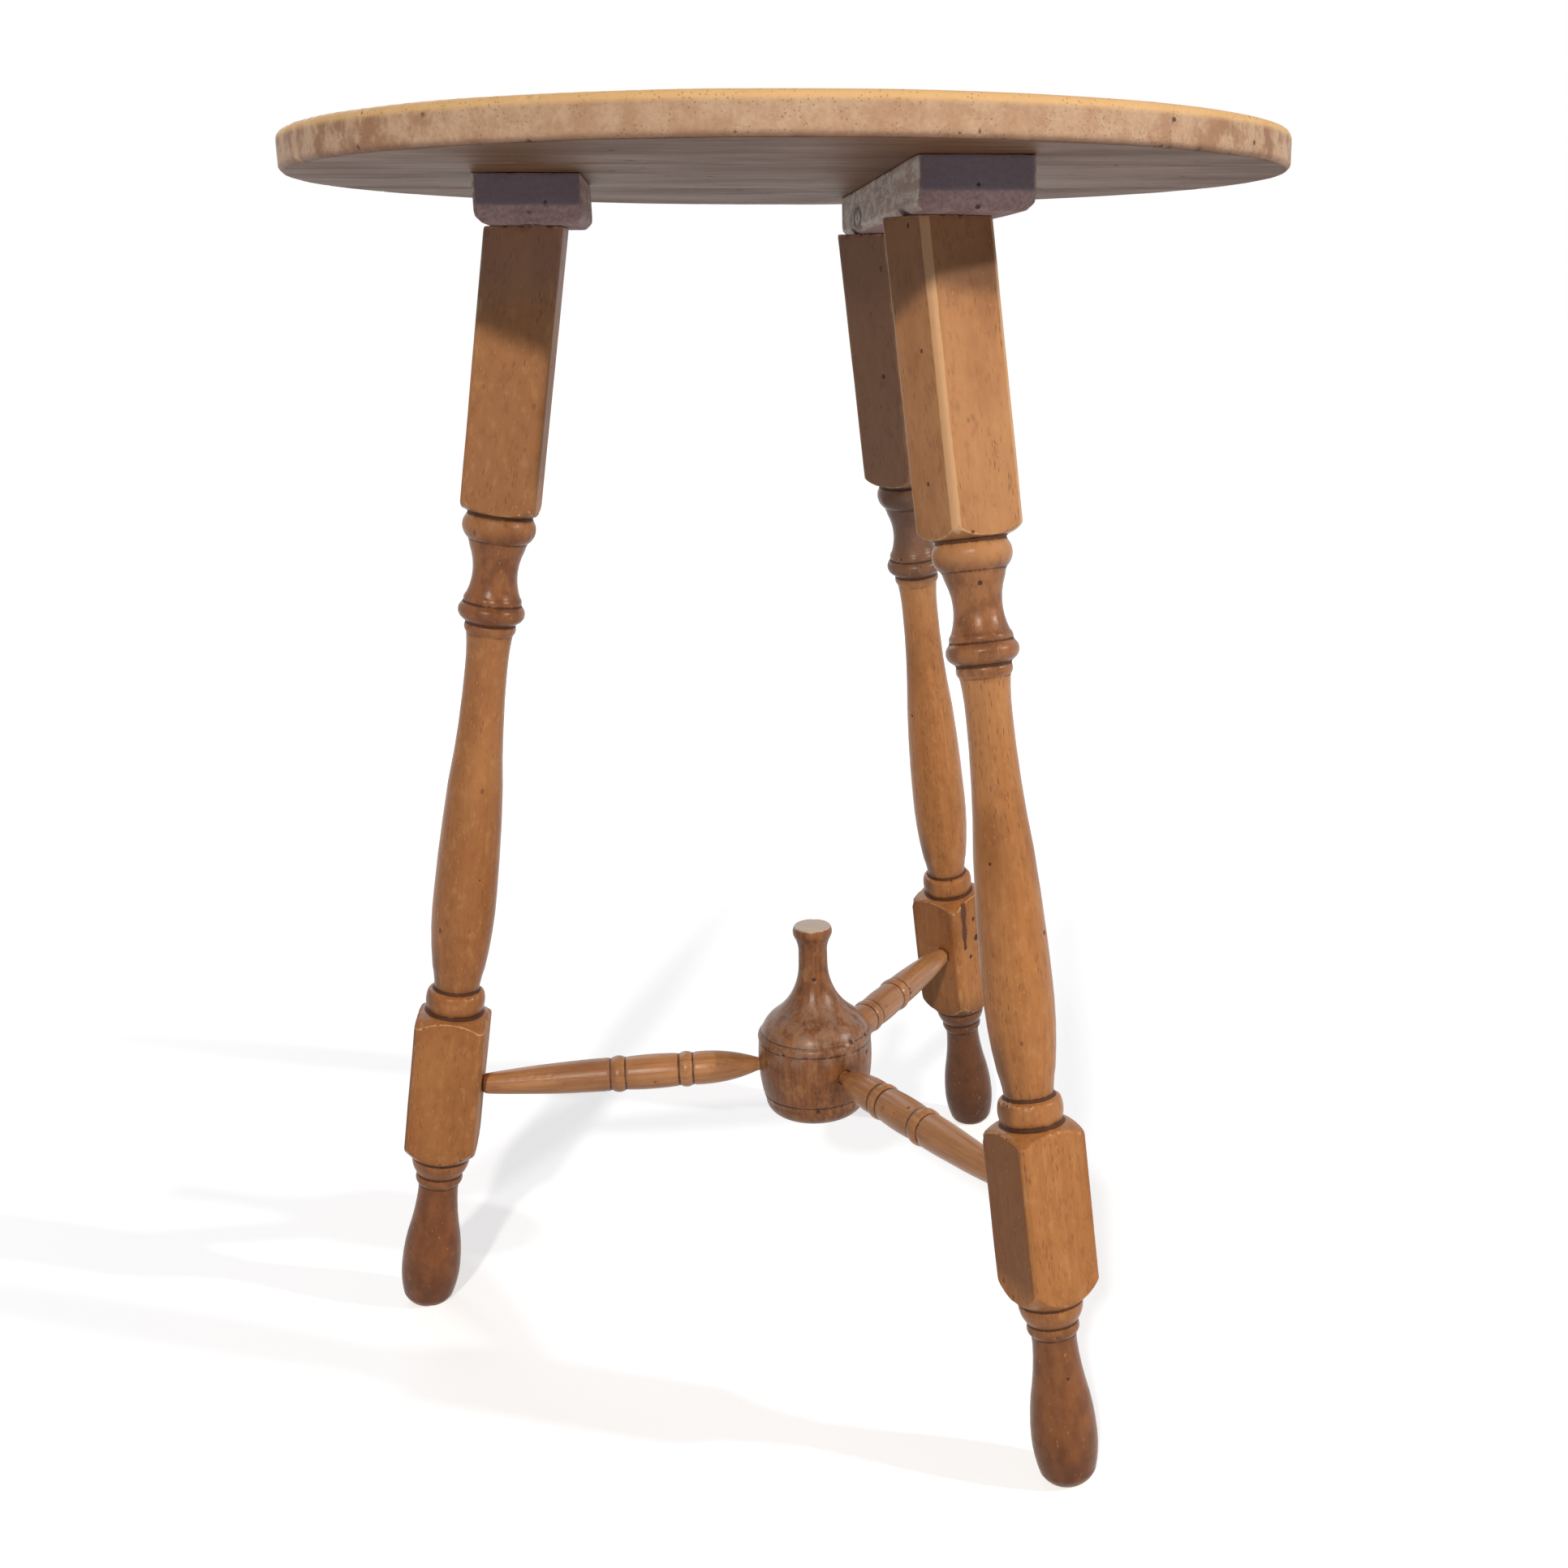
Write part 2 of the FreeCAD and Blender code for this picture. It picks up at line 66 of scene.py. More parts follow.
# Lamps: name, turn round the table and height in degrees, distance, width, power and colour.
LAMP_AIM = Vector((0, 0, 0.5))
LAMPS = (
    ("window_key", -104, 27, 3.9, 0.24, 88, (1.0, 0.90, 0.77)),
    ("side_window", -22, 23, 3.9, 0.16, 70, (1.0, 0.93, 0.84)),
    ("back_fill", 112, 28, 3.0, 2.0, 18, (0.92, 0.97, 1.0)),
)
SKY_COLOUR = (0.68, 0.95, 1.45, 1)
SKY_STRENGTH = 0.125
WHITE = (1, 1, 1, 1)

# Floor: its size, the distances where its fade to white starts and ends, and its glow at either.
FLOOR_SIZE = 30.0
FLOOR_FADE = (0.4, 1.6)
FLOOR_GLOW = (0.66, 1.0)

# Each kind of piece: millimetres of the grid it is worn on, its number of dents and its most triangles.
Make = namedtuple("Make", "grid dents triangles")
LEG_MAKE = Make(0.62, 80, 180000)
STRETCHER_MAKE = Make(0.5, 24, 70000)
HUB_MAKE = Make(0.55, 50, 120000)
BOARD_MAKE = Make(1.0, 60, 150000)
BATTEN_MAKE = Make(0.8, 50, 100000)

# Wear, in millimetres unless a line says otherwise.
WEAR_SEED = 1840
SOFTENING_ROUNDS = 3.2  # on a grid of 1 mm
SHARP_ARRIS = 0.25
RUB_PITCH = 0.06  # metres
SWELL_PITCH = 0.045  # metres
SWELL_DEPTH = 0.12
SWELL_WAVES = 14
RIDGE_START, RIDGE_SPAN = 0.07, 0.16
HOLLOW_START, HOLLOW_SPAN = 0.012, 0.10
DENT_RADIUS = (1.2, 3.6)
DENT_DEPTH = (0.15, 0.55)
DENT_ARRIS = 0.4  # ridge mark above which a dent counts as on an arris
DENTS_ON_ARRISES = 0.75  # share of the dents
GOUGE_DEPTH = 0.6
GOUGE_STAIN = (0.05, 0.75)  # shares of that depth
RECESS_DEPTH = 1.5
TURNING_ROW = 1.0
TURNING_SWELL = np.exp(-np.linspace(-1.8, 1.8, 19) ** 2)  # weights of 19 rows

# Worm-eaten run beside the front arris of the back leg's lower block, and loose holes: places in metres,
# radii in millimetres, the rest as shares of the run.
WORM_TOP = Vector((0.1126, 0.1532, 0.1790))
WORM_FOOT = Vector((0.1149, 0.1563, 0.1474))
WORM_COUNT = 14
WORM_RADIUS, WORM_SWELL = 2.6, 0.5
WORM_FIRST_SWELL, WORM_SWELL_STEP = 0.2, 0.45
WORM_TAPER = 0.4
WORM_HOLES = [(Vector((0.1235, 0.1644, 0.1515)), 2.2), (Vector((0.1196, 0.1604, 0.1392)), 1.4),
              (Vector((0.1210, 0.1615, 0.1660)), 1.3)]
WORM_SPREAD = 1.35

# Legs, in metres: side of the square stock, its arrises and flats as depths in from a flat. Rubs are shares;
# on the upper blocks, most on the front leg, the pale rub is also a painted highlight along the arrises.
LEG_STOCK = 0.039
ARRIS_BAND = (0.0042, 0.0028)
FLAT_BAND = (0.0018, 0.0008)
UPPER_BLOCK_FROM = 0.4
UPPER_RUB_AND_HIGHLIGHT = {"left": 0.34, "front": 0.95, "back": 0.45}
LOWER_RUB = 0.32
TENON_SLICE = 0.012  # of the tenon's end, to find its middle
LEVEL_LIMIT = 0.02  # how far a face along the leg may lean
STRETCHER_SLICE = 0.004  # of a stretcher's end, to find its middle

# Where a tint starts and where it is full, in metres: heights, places to the left and behind, and outwards.
LEG_PALE_UP = (0.28, 0.52)
LEG_DARK_LEFT = (-0.05, -0.12)
FOOT_BROWN_DOWN = (0.118, 0.088)
FOOT_DARK_DOWN = (0.060, 0.022)
FOOT_BLOTCH_DOWN = (0.115, 0.090)
WAIST_UP, WAIST_DOWN = (0.399, 0.407), (0.462, 0.450)
BACK_LEG_BEHIND = (0.03, 0.10)
# From these heights the back leg's upper block takes a grey of dust and painted shade.
BACK_DUST_AND_SHADE_UP = (0.38, 0.46)
# Heads of the legs, just under the top: painted shade of the top, greyer on the left leg.
HEAD_UP = (0.556, 0.592)
HEAD_LEFT = (0.0, -0.08)
# Heights of the painted shade on the left-facing faces of the lower blocks.
BLOCK_SHADE_UP, BLOCK_SHADE_DOWN = (0.096, 0.112), (0.236, 0.215)
HUB_DUST_UP, HUB_DUST_DOWN = (0.148, 0.158), (0.193, 0.173)
HUB_LIP_UP = (0.2254, 0.2266)
END_GRAIN_OUT = (0.105, 0.215)

# Bands of the top, in metres in from its edge, down from its face or up from its underside.
RIM_IN = (0.0055, 0.002)
# Brow: pale band of wear and painted highlight along the rim's upper edge.
BROW_IN = (0.0075, 0.004)
BROW_DOWN = (0.0052, 0.0028)
HEM_UP = (0.0035, 0.0005)
UNDER_UP = (0.004, 0.001)

# Knot on the right batten: its middle and reach along the batten and up, its rings and its fading edge.
KNOT_MIDDLE = (0.080, 0.6175)
KNOT_REACH = (0.030, 0.0085)
KNOT_RINGS = 1.7
KNOT_FADE = (1.15, 0.85)
OUTER_FLANK = 0.3

# How squarely a surface has to face a way before a mark starts, and before it is full.
FACING = (0.5, 0.9)
FACING_SHADE = (0.55, 0.85)
FACING_DOWN = (0.75, 0.97)
FACING_END = (0.84, 0.96)


def srgb(red, green, blue):
    """A paint-chart colour, 0 to 255, as the linear colour that a shader takes."""
    def linear(value):
        value /= 255
        return value / 12.92 if value <= 0.04045 else ((value + 0.055) / 1.055) ** 2.4
    return (linear(red), linear(green), linear(blue), 1.0)


def smooth_step(values, low, high):
    """A mask that grows smoothly from 0 at low to 1 at high."""
    share = np.clip((values - low) / (high - low), 0, 1)
    return share * share * (3 - 2 * share)


# Shader building


class Nodes:
    """Short names for adding and joining the nodes of one tree."""

    def __init__(self, tree):
        self.tree = tree

    def add(self, kind, **settings):
        node = self.tree.nodes.new("ShaderNode" + kind)
        for name, value in settings.items():
            setattr(node, name, value)
        return node

    def join(self, value, socket):
        if isinstance(value, bpy.types.NodeSocket):
            self.tree.links.new(value, socket)
        else:
            socket.default_value = value

    def math(self, operation, first, second=0.0, clamp=False):
        node = self.add("Math", operation=operation, use_clamp=clamp)
        self.join(first, node.inputs[0])
        self.join(second, node.inputs[1])
        return node.outputs[0]

    def times(self, first, second):
        return self.math("MULTIPLY", first, second)

    def total(self, first, *others):
        """The sum of some values, each given with its weight."""
        result = self.times(*first)
        for part in others:
            result = self.math("ADD", result, self.times(*part))
        return result

    def swayed(self, value, noise, amount):
        """A value that a noise pushes up and down."""
        return self.math("ADD", value, self.times(self.math("SUBTRACT", noise, 0.5), amount))

    def span(self, value, low, high, start=0.0, end=1.0):
        """A mask that goes smoothly from start to end while a value goes from low to high."""
        node = self.add("MapRange", interpolation_type="SMOOTHSTEP")
        for socket, item in zip(node.inputs[:5], (value, low, high, start, end)):
            self.join(item, socket)
        return node.outputs[0]

    def mix(self, factor, first, second):
        node = self.add("Mix", data_type="RGBA")
        self.join(factor, node.inputs[0])
        self.join(first, node.inputs[6])
        self.join(second, node.inputs[7])
        return node.outputs[2]

    def scaled(self, vector, amounts, shift=(0, 0, 0)):
        node = self.add("Mapping")
        self.join(vector, node.inputs["Vector"])
        node.inputs["Scale"].default_value = amounts
        node.inputs["Location"].default_value = shift
        return node.outputs[0]

    def noise(self, vector, scale=1.0, detail=4.0, roughness=0.55, distortion=0.0):
        node = self.add("TexNoise")
        self.join(vector, node.inputs["Vector"])
        node.inputs["Scale"].default_value = scale
        node.inputs["Detail"].default_value = detail
        node.inputs["Roughness"].default_value = roughness
        node.inputs["Distortion"].default_value = distortion
        return node.outputs["Fac"]

    def patches(self, place, amounts, low, high, detail, roughness=0.55):
        """Patches of a noise that is drawn out along the fibres."""
        cloud = self.noise(self.scaled(place, amounts), detail=detail, roughness=roughness)
        return self.span(cloud, low, high)

    def cells(self, place, amounts):
        """Distance from the middles of scattered cells."""
        node = self.add("TexVoronoi")
        self.join(self.scaled(place, amounts), node.inputs["Vector"])
        node.inputs["Scale"].default_value = 1.0
        node.inputs["Randomness"].default_value = 1.0
        return node.outputs["Distance"]


def effect(name, takes, gives):
    """An empty shader group with named sockets, a vector for a place and numbers for the rest."""
    group = bpy.data.node_groups.new(name, "ShaderNodeTree")
    for labels, way in ((takes, "INPUT"), (gives, "OUTPUT")):
        for label in labels:
            kind = "NodeSocketVector" if label == "Place" else "NodeSocketFloat"
            group.interface.new_socket(label, in_out=way, socket_type=kind)
    return group, Nodes(group), group.nodes.new("NodeGroupInput"), group.nodes.new("NodeGroupOutput")


def make_grain():
    """Streaks along the fibres, growth bands, short dark flecks and soft large stains.

    Amounts are waves in a metre, twice across the fibres and then along them.
    """
    group, nodes, given, out = effect(
        "timber_grain", ["Place"], ["Streak", "Band", "Fleck", "Stain", "Height"])
    place = given.outputs["Place"]
    streak = nodes.noise(nodes.scaled(place, (520, 520, 14)), detail=5.0, roughness=0.62, distortion=0.25)
    wander = nodes.noise(nodes.scaled(place, (24, 24, 5)), detail=2.0)
    pith = nodes.scaled(place, (1, 1, 0.07), (0.031, 0.052, 0.0))
    rings = nodes.add("TexWave", wave_type="RINGS", rings_direction="Z")
    nodes.join(pith, rings.inputs["Vector"])
    rings.inputs["Scale"].default_value = 62.0
    rings.inputs["Detail"].default_value = 2.0
    rings.inputs["Detail Scale"].default_value = 1.4
    nodes.join(nodes.times(wander, 5.5), rings.inputs["Distortion"])
    ticks = nodes.span(nodes.cells(place, (760, 760, 120)), 0.30, 0.12)
    fleck = nodes.times(ticks, nodes.patches(place, (60, 60, 22), 0.42, 0.62, detail=3.0))
    stain = nodes.noise(nodes.scaled(place, (17, 17, 8)), detail=5.0, roughness=0.6)
    height = nodes.total((streak, 0.7), (fleck, -0.6))
    for label, value in (("Streak", streak), ("Band", rings.outputs["Fac"]), ("Fleck", fleck),
                         ("Stain", stain), ("Height", height)):
        nodes.join(value, out.inputs[label])
    return group


def make_wear():
    """Rubbed arrises, grime in hollows, pinholes and scuffs, from a piece's own ridge and hollow marks."""
    group, nodes, given, out = effect(
        "age_and_wear", ["Place", "Ridge", "Hollow"], ["Rubbed", "Grime", "Pits", "Scuff"])
    place, ridge, hollow = given.outputs["Place"], given.outputs["Ridge"], given.outputs["Hollow"]
    broken = nodes.noise(nodes.scaled(place, (230, 230, 90)), detail=5.0, roughness=0.65)
    slow = nodes.noise(nodes.scaled(place, (40, 40, 22)), detail=3.0)
    edge = nodes.swayed(nodes.swayed(ridge, broken, 1.1), slow, 0.7)
    rubbed = nodes.times(nodes.span(edge, 0.30, 0.85), nodes.span(ridge, 0.04, 0.25))
    grime = nodes.span(nodes.swayed(hollow, broken, 0.5), 0.12, 0.75)
    holes = nodes.span(nodes.cells(place, (95, 95, 60)), 0.13, 0.07)
    pits = nodes.times(holes, nodes.patches(place, (21, 21, 13), 0.50, 0.66, detail=2.0))
    scuff = nodes.patches(place, (300, 300, 300), 0.55, 0.75, detail=6.0, roughness=0.7)
    for label, value in (("Rubbed", rubbed), ("Grime", grime), ("Pits", pits), ("Scuff", scuff)):
        nodes.join(value, out.inputs[label])
    return group


GRAIN = make_grain()
WEAR = make_wear()


class Timber:
    """A wood finish under way: its tree, its grain and its wear, and the colour built up so far."""

    relief_depth = 0.35 * MILLIMETRE

    def __init__(self, name):
        self.material = bpy.data.materials.new(name)
        self.material.use_nodes = True
        tree = self.material.node_tree
        tree.nodes.clear()
        self.nodes = Nodes(tree)
        self.shader = self.nodes.add("BsdfPrincipled")
        output = self.nodes.add("OutputMaterial")
        tree.links.new(self.shader.outputs[0], output.inputs[0])
        self.place = self.nodes.add("Attribute", attribute_name="grain_place").outputs["Vector"]
        self.grain = self.group(GRAIN, Place=self.place)
        self.wear = self.group(WEAR, Place=self.place, Ridge=self.mark("ridge"), Hollow=self.mark("hollow"))
        self.colour = None

    def mark(self, name):
        return self.nodes.add("Attribute", attribute_name=name).outputs["Fac"]

    def group(self, tree, **values):
        node = self.nodes.add("Group", node_tree=tree)
        for name, value in values.items():
            self.nodes.join(value, node.inputs[name])
        return node.outputs

    def axes(self):
        """How far to the right, behind and up a point of the table lies."""
        split = self.nodes.add("SeparateXYZ")
        self.nodes.join(self.nodes.add("TexCoord").outputs["Object"], split.inputs[0])
        return split.outputs

    def base(self, light, dark, streak, band):
        """Lays light wood, darkened by its streaks and growth bands."""
        streaks = self.nodes.times(self.nodes.span(self.grain["Streak"], 0.32, 0.68), streak)
        tone = self.nodes.math("ADD", streaks, self.nodes.times(self.grain["Band"], band), clamp=True)
        self.colour = self.nodes.mix(tone, light, dark)

    def lay(self, mask, strength, colour):
        """Lays a colour over the wood where a mask is."""
        factor = self.nodes.math("MULTIPLY", mask, strength, clamp=True)
        self.colour = self.nodes.mix(factor, self.colour, colour)

    def close(self, rough_low, rough_high, relief, gloss, dull=0.0):
        """Joins colour, roughness and relief to the shader, rougher where a dull mask lies."""
        nodes, wear, inputs = self.nodes, self.wear, self.shader.inputs
        nodes.join(self.colour, inputs["Base Color"])
        rough = nodes.total((self.grain["Stain"], 0.6), (wear["Grime"], 0.5),
                            (wear["Rubbed"], -0.25), (dull, 0.4))
        nodes.join(nodes.span(rough, 0.1, 0.8, rough_low, rough_high), inputs["Roughness"])
        height = nodes.total((self.grain["Height"], 1.0), (wear["Pits"], -2.2), (wear["Scuff"], 0.25))
        bump = nodes.add("Bump")
        bump.inputs["Strength"].default_value = relief
        bump.inputs["Distance"].default_value = self.relief_depth
        nodes.join(height, bump.inputs["Height"])
        nodes.join(bump.outputs[0], inputs["Normal"])
        inputs["Specular IOR Level"].default_value = gloss
        return self.material


def leg_finish():
    """Warm polished fruitwood, darker and redder at the feet, pale where hands and feet rub, with a painted
    highlight on the upper arrises and painted shade under the top, on the back leg and on the lower blocks'
    left faces.
    """
    wood = Timber("leg_wood")
    nodes = wood.nodes
    right, back, up = wood.axes()
    stain = wood.grain["Stain"]
    wood.base(srgb(188, 126, 72), srgb(157, 98, 53), streak=0.40, band=0.12)
    wood.lay(nodes.span(up, *LEG_PALE_UP), 0.55, srgb(198, 147, 103))
    wood.lay(nodes.span(right, *LEG_DARK_LEFT), 0.48, srgb(138, 84, 46))
    mottle = nodes.noise(nodes.scaled(wood.place, (210, 210, 120)), detail=4.0, roughness=0.6)
    wood.lay(nodes.span(mottle, 0.52, 0.68), 0.28, srgb(128, 76, 40))
    wood.lay(nodes.span(mottle, 0.47, 0.33), 0.28, srgb(206, 150, 96))
    wood.lay(nodes.span(stain, 0.48, 0.70), 0.55, srgb(130, 77, 38))
    wood.lay(nodes.span(stain, 0.44, 0.30), 0.35, srgb(193, 133, 78))
    wood.lay(wood.grain["Fleck"], 0.60, srgb(98, 57, 33))
    ragged_height = nodes.math("ADD", up, nodes.times(stain, 0.035))
    wood.lay(nodes.span(ragged_height, *FOOT_BROWN_DOWN), 0.72, srgb(116, 68, 42))
    wood.lay(nodes.span(ragged_height, *FOOT_DARK_DOWN), 0.50, srgb(84, 50, 34))
    waist = nodes.times(nodes.span(up, *WAIST_UP), nodes.span(up, *WAIST_DOWN))
    wood.lay(waist, 0.50, srgb(126, 74, 46))
    cloud = nodes.noise(nodes.scaled(wood.place, (130, 130, 95)), detail=3.0, roughness=0.5)
    wood.lay(nodes.times(waist, nodes.span(cloud, 0.42, 0.62)), 0.45, srgb(86, 48, 30))
    soiled = nodes.times(wood.mark("recess"), nodes.span(cloud, 0.34, 0.60, 0.45, 1.0))
    wood.lay(soiled, 0.85, srgb(84, 47, 29))
    # Painted shade: the lower blocks' left-facing faces darkened.
    wood.lay(wood.mark("left_face_shade"), 0.62, srgb(92, 54, 32))
    behind = nodes.span(back, *BACK_LEG_BEHIND)
    foot = nodes.span(up, *FOOT_BLOTCH_DOWN)
    wood.lay(nodes.times(foot, nodes.span(cloud, 0.46, 0.68)), 0.24, srgb(162, 102, 58))
    wood.lay(nodes.times(foot, nodes.span(cloud, 0.54, 0.32)), 0.30, srgb(76, 42, 26))
    wood.lay(nodes.times(behind, foot), 0.55, srgb(72, 42, 27))
    # The back leg's waist greyed and darkened: dust and painted shade of the top.
    wood.lay(nodes.times(behind, waist), 0.55, srgb(92, 68, 55))
    # Painted shade of the top over the heads of the front and back legs.
    head = nodes.span(up, *HEAD_UP)
    on_left = nodes.span(right, *HEAD_LEFT)
    wood.lay(nodes.math("SUBTRACT", head, on_left, clamp=True), 0.45, srgb(122, 82, 58))
    # Dust and painted shade: a cool grey over the back leg's upper block and the left leg's head, where the
    # top shades them.
    dust = nodes.times(behind, nodes.span(up, *BACK_DUST_AND_SHADE_UP))
    wood.lay(nodes.math("MAXIMUM", dust, nodes.times(head, on_left)), 0.40, srgb(132, 108, 98))
    specks = nodes.span(nodes.cells(wood.place, (430, 430, 210)), 0.22, 0.10)
    wood.lay(nodes.times(specks, nodes.span(mottle, 0.46, 0.60)), 0.42, srgb(206, 156, 110))
    wood.lay(wood.wear["Grime"], 0.85, srgb(58, 33, 21))
    # Pale rubbed arrises, on the upper blocks also a painted highlight.
    wood.lay(wood.wear["Rubbed"], 0.66, srgb(224, 178, 132))
    wood.lay(wood.wear["Pits"], 0.65, srgb(62, 36, 23))
    wood.lay(wood.mark("split"), 0.82, srgb(74, 42, 25))
    return wood.close(0.24, 0.60, 0.32, gloss=0.20, dull=wood.mark("flat"))


def stretcher_finish():
    """The legs' wood, a little paler, with soft brown stains and grime beside the rings."""
    wood = Timber("stretcher_wood")
    wood.base(srgb(194, 138, 90), srgb(156, 101, 59), streak=0.6, band=0.16)
    wood.lay(wood.nodes.span(wood.grain["Stain"], 0.50, 0.72), 0.6, srgb(122, 76, 48))
    wood.lay(wood.grain["Fleck"], 0.40, srgb(100, 58, 34))
    wood.lay(wood.mark("recess"), 0.6, srgb(96, 58, 37))
    wood.lay(wood.wear["Grime"], 0.85, srgb(64, 38, 26))
    wood.lay(wood.wear["Rubbed"], 0.35, srgb(214, 168, 124))
    wood.lay(wood.wear["Pits"], 0.8, srgb(50, 30, 20))
    return wood.close(0.24, 0.50, 0.30, gloss=0.28)


def hub_finish():
    """Darker brown with grey-brown dust in flecks over the shoulder and a pale rubbed lip."""
    wood = Timber("hub_wood")
    nodes = wood.nodes
    up = wood.axes()["Z"]
    wood.base(srgb(160, 102, 56), srgb(112, 67, 36), streak=0.75, band=0.14)
    wood.lay(nodes.span(wood.grain["Stain"], 0.46, 0.70), 0.5, srgb(86, 52, 34))
    patch = nodes.noise(nodes.scaled(wood.place, (120, 120, 90)), detail=5.0, roughness=0.68)
    wood.lay(nodes.span(patch, 0.53, 0.66), 0.55, srgb(172, 122, 80))
    wood.lay(nodes.span(patch, 0.47, 0.36), 0.55, srgb(78, 46, 29))
    wood.lay(wood.mark("recess"), 0.6, srgb(66, 38, 25))
    wood.lay(wood.grain["Fleck"], 0.55, srgb(70, 42, 28))
    dust = nodes.times(nodes.span(up, *HUB_DUST_UP), nodes.span(up, *HUB_DUST_DOWN))
    mottle = nodes.patches(wood.place, (150, 150, 95), 0.40, 0.60, detail=5.0, roughness=0.7)
    wood.lay(nodes.times(dust, mottle), 0.62, srgb(158, 128, 108))
    wood.lay(wood.wear["Grime"], 0.85, srgb(48, 29, 20))
    wood.lay(wood.wear["Rubbed"], 0.25, srgb(190, 142, 102))
    wood.lay(nodes.span(up, *HUB_LIP_UP), 0.85, srgb(214, 194, 172))
    wood.lay(wood.wear["Pits"], 0.85, srgb(38, 23, 16))
    return wood.close(0.24, 0.52, 0.45, gloss=0.26)


def board_finish():
    """Polished face, tan rim speckled with pits, pale along its brow from wear and a painted highlight, dull
    raw underside.
    """
    wood = Timber("board_wood")
    nodes = wood.nodes
    place = nodes.add("TexCoord").outputs["Object"]
    wood.base(srgb(182, 136, 92), srgb(148, 101, 64), streak=0.6, band=0.25)
    wood.lay(nodes.span(wood.grain["Stain"], 0.50, 0.72), 0.5, srgb(122, 80, 50))
    wood.lay(wood.grain["Fleck"], 0.45, srgb(100, 62, 40))
    rim = wood.mark("rim")
    blotch = nodes.noise(place, scale=62.0, detail=5.0, roughness=0.65)
    edge = nodes.mix(nodes.span(blotch, 0.36, 0.66), srgb(207, 173, 142), srgb(190, 151, 120))
    mottle = nodes.span(nodes.noise(place, scale=420.0, detail=4.0, roughness=0.7), 0.40, 0.64)
    edge = nodes.mix(nodes.times(mottle, 0.27), edge, srgb(168, 124, 92))
    end = nodes.span(nodes.math("ABSOLUTE", wood.axes()["X"]), *END_GRAIN_OUT)
    end_grain = nodes.times(end, nodes.span(blotch, 0.44, 0.60))
    edge = nodes.mix(nodes.times(end_grain, 0.6), edge, srgb(138, 92, 62))
    wood.lay(rim, 1.0, edge)
    # The rim darker along its lower edge.
    wood.lay(nodes.times(rim, wood.mark("hem")), 0.5, srgb(140, 92, 66))
    # Pale brow along the rim's upper edge: wear and a painted highlight.
    wood.lay(wood.mark("brow"), 0.8, srgb(238, 192, 130))
    specks = nodes.span(nodes.cells(place, (560, 560, 560)), 0.30, 0.14)
    crowd = nodes.span(nodes.noise(place, scale=95.0, detail=3.0), 0.36, 0.60)
    wood.lay(nodes.times(nodes.times(specks, crowd), rim), 0.46, srgb(104, 68, 48))
    wood.lay(wood.wear["Grime"], 0.7, srgb(80, 50, 34))
    wood.lay(wood.wear["Rubbed"], 0.45, srgb(232, 202, 166))
    wood.lay(wood.wear["Pits"], 0.85, srgb(78, 47, 31))
    raw = nodes.mix(nodes.span(wood.grain["Streak"], 0.34, 0.66), srgb(134, 94, 64), srgb(95, 63, 41))
    damp = nodes.times(nodes.span(wood.grain["Stain"], 0.45, 0.7), 0.5)
    raw = nodes.mix(damp, raw, srgb(77, 52, 36))
    raw = nodes.mix(nodes.times(wood.wear["Pits"], 0.8), raw, srgb(48, 36, 31))
    wood.lay(wood.mark("under"), 1.0, raw)
    return wood.close(0.44, 0.80, 0.45, gloss=0.08)


def batten_finish():
    """Rough unpolished wood: dark and dusty on its ends and foot, paler and torn on its sides."""
    wood = Timber("batten_wood")
    nodes = wood.nodes
    wood.base(srgb(182, 149, 140), srgb(142, 113, 106), streak=0.7, band=0.15)
    wood.lay(nodes.span(wood.grain["Stain"], 0.46, 0.70), 0.45, srgb(116, 90, 82))
    flank = wood.mark("flank")
    torn = nodes.patches(wood.place, (190, 190, 42), 0.42, 0.60, detail=6.0, roughness=0.72)
    wood.lay(flank, 0.7, srgb(226, 199, 176))
    wood.lay(nodes.times(flank, torn), 0.85, srgb(252, 240, 218))
    wood.lay(wood.mark("knot"), 0.85, srgb(58, 42, 34))
    wood.lay(wood.mark("butt"), 0.82, srgb(130, 116, 121))
    wood.lay(wood.wear["Grime"], 0.8, srgb(42, 31, 27))
    wood.lay(wood.wear["Rubbed"], 0.22, srgb(190, 164, 142))
    wood.lay(wood.wear["Pits"], 0.85, srgb(38, 27, 23))
    return wood.close(0.60, 0.88, 0.8, gloss=0.05)


def iron_finish():
    """Old screw iron: grey-brown metal with patches of dull rust."""
    material = bpy.data.materials.new("screw_iron")
    material.use_nodes = True
    nodes = Nodes(material.node_tree)
    shader = material.node_tree.nodes["Principled BSDF"]
    place = nodes.add("TexCoord").outputs["Object"]
    rust = nodes.span(nodes.noise(place, scale=620.0, detail=5.0, roughness=0.7), 0.42, 0.62)
    nodes.join(nodes.mix(rust, srgb(92, 86, 82), srgb(92, 54, 34)), shader.inputs["Base Color"])
    nodes.join(nodes.span(rust, 0.0, 1.0, 0.42, 0.85), shader.inputs["Roughness"])
    nodes.join(nodes.span(rust, 0.0, 1.0, 0.9, 0.15), shader.inputs["Metallic"])
    return material


# Worn pieces


def read(collection, name, width):
    """One property of everything in a collection, as rows of numbers."""
    values = np.empty(len(collection) * width)
    collection.foreach_get(name, values)
    return values.reshape(-1, width)


def store(mesh, name, values, kind="FLOAT"):
    """Keeps a value for each point of a mesh, for its finish to read."""
    field = "vector" if kind == "FLOAT_VECTOR" else "value"
    attribute = mesh.attributes.new(name, kind, "POINT")
    attribute.data.foreach_set(field, np.ascontiguousarray(values, dtype=np.float32).ravel())


